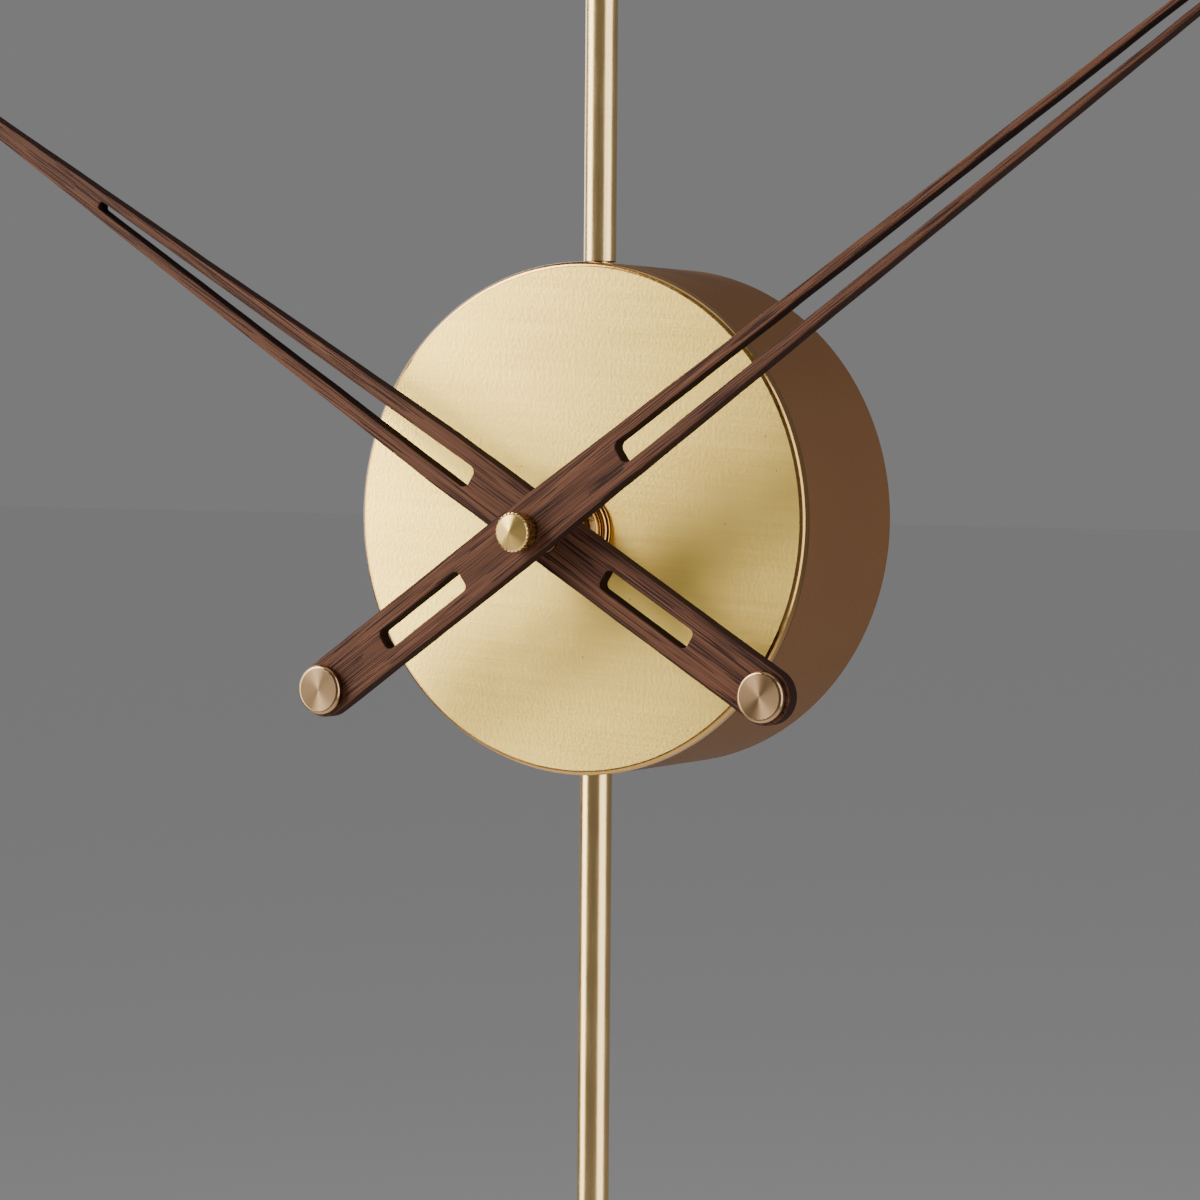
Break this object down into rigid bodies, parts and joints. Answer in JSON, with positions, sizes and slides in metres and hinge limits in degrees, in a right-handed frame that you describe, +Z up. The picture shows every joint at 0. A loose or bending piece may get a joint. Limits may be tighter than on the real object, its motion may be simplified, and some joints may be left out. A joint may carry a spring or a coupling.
{
  "type": "pendulum wall clock",
  "caption": "Wall clock with a shallow brass drum, two long slotted walnut hands with round tails, a thin stem above and a pendulum with a disc bob below.",
  "frame": {"origin": "centre of the rear cover, in the plane that lies against the wall", "axes": "+Z up along the stem, +Y into the wall, +X to the right of someone facing the dial"},
  "size_m": [0.4481, 0.074, 0.6533],
  "materials": {
    "brushed_brass": "brushed brass, lacquered",
    "polished_brass": "polished brass",
    "rose_brass": "fine turned rose-coloured brass with a polished edge",
    "bronze_finish": "satin bronze-brown lacquer",
    "walnut": "oiled walnut, grain along the hand",
    "steel": "zinc-plated steel",
    "rubber": "matt black rubber",
    "housing_plastic": "moulded black plastic",
    "gear_plastic": "natural acetal",
    "copper_wire": "enamelled copper winding",
    "board_green": "green circuit board",
    "battery_jacket": "plain dark jacket",
    "magnet_plating": "nickel-plated magnet"
  },
  "bodies": {
    "case": {"case_shell": "bronze_finish", "face_plate": "brushed_brass", "rear_cover": "bronze_finish", "upper_stem": "polished_brass", "stem_washer": "steel", "stem_nut": "steel", "stem_finial": "polished_brass", "movement_front": "housing_plastic", "movement_rear": "housing_plastic", "middle_plate": "brushed_brass", "mounting_bushing": "polished_brass", "rubber_washer": "rubber", "dial_washer": "polished_brass", "dial_nut": "polished_brass", "battery": "battery_jacket", "battery_contact_positive": "steel", "battery_contact_negative": "steel", "stator": "steel", "drive_coil": "copper_wire", "coil_core": "steel", "circuit_board": "board_green", "pendulum_coil": "copper_wire", "pendulum_pivot_pin": "steel", "standoff_1": "steel", "cover_screw_1": "steel", "standoff_2": "steel", "cover_screw_2": "steel", "standoff_3": "steel", "cover_screw_3": "steel", "standoff_4": "steel", "cover_screw_4": "steel"},
    "minute_hand": {"minute_hand_blade": "walnut", "minute_hand_bush": "polished_brass", "minute_tail_cap": "rose_brass", "hand_nut": "polished_brass", "minute_shaft": "steel", "clutch_washer": "steel"},
    "hour_hand": {"hour_hand_blade": "walnut", "hour_hand_bush": "polished_brass", "hour_tail_cap": "rose_brass", "hour_wheel": "gear_plastic"},
    "motion_works": {"motion_wheel": "gear_plastic", "time_set_knob": "housing_plastic"},
    "rotor": {"rotor": "gear_plastic", "rotor_magnet": "magnet_plating"},
    "intermediate": {"intermediate_wheel": "gear_plastic"},
    "second": {"second_wheel": "gear_plastic"},
    "third": {"third_wheel": "gear_plastic"},
    "centre": {"centre_wheel": "gear_plastic"},
    "pendulum": {"pendulum_hanger": "steel", "pendulum_magnet": "magnet_plating", "pendulum_rod": "polished_brass", "rod_nut": "steel", "pendulum_bob": "brushed_brass", "rating_nut": "polished_brass"}
  },
  "joints": [
    {"name": "minute_hand_spin", "type": "hinge", "parent": "case", "child": "minute_hand", "pos_m": [0, -0.0665, -0.0026], "axis": [0, 1, 0], "continuous": true},
    {"name": "hour_hand_spin", "type": "hinge", "parent": "case", "child": "hour_hand", "pos_m": [0, -0.0581, -0.0026], "axis": [0, 1, 0], "continuous": true},
    {"name": "motion_wheel_spin", "type": "hinge", "parent": "case", "child": "motion_works", "pos_m": [-0.0125, -0.0335, -0.0026], "axis": [0, 1, 0], "continuous": true},
    {"name": "second_wheel_spin", "type": "hinge", "parent": "case", "child": "second", "pos_m": [0.01356, -0.0275, 0.00931], "axis": [0, 1, 0], "continuous": true},
    {"name": "rotor_spin", "type": "hinge", "parent": "case", "child": "rotor", "pos_m": [0.01125, -0.0295, 0.01931], "axis": [0, 1, 0], "continuous": true},
    {"name": "intermediate_wheel_spin", "type": "hinge", "parent": "case", "child": "intermediate", "pos_m": [0.01731, -0.0275, 0.01581], "axis": [0, 1, 0], "continuous": true},
    {"name": "third_wheel_spin", "type": "hinge", "parent": "case", "child": "third", "pos_m": [0.0051, -0.0285, 0.00623], "axis": [0, 1, 0], "continuous": true},
    {"name": "centre_wheel_spin", "type": "hinge", "parent": "case", "child": "centre", "pos_m": [0, -0.0305, -0.0026], "axis": [0, 1, 0], "continuous": true},
    {"name": "pendulum_swing", "type": "hinge", "parent": "case", "child": "pendulum", "pos_m": [0, -0.0196, 0.0214], "axis": [0, 1, 0], "range_deg": [-4, 4]}
  ],
  "couplings": [
    {"joint": "hour_hand_spin", "follows": "minute_hand_spin", "ratio": 0.083333},
    {"joint": "motion_wheel_spin", "follows": "minute_hand_spin", "ratio": -0.33333},
    {"joint": "rotor_spin", "follows": "second_wheel_spin", "ratio": 30},
    {"joint": "intermediate_wheel_spin", "follows": "second_wheel_spin", "ratio": -5},
    {"joint": "third_wheel_spin", "follows": "second_wheel_spin", "ratio": -0.125},
    {"joint": "centre_wheel_spin", "follows": "second_wheel_spin", "ratio": 0.016667}
  ]
}
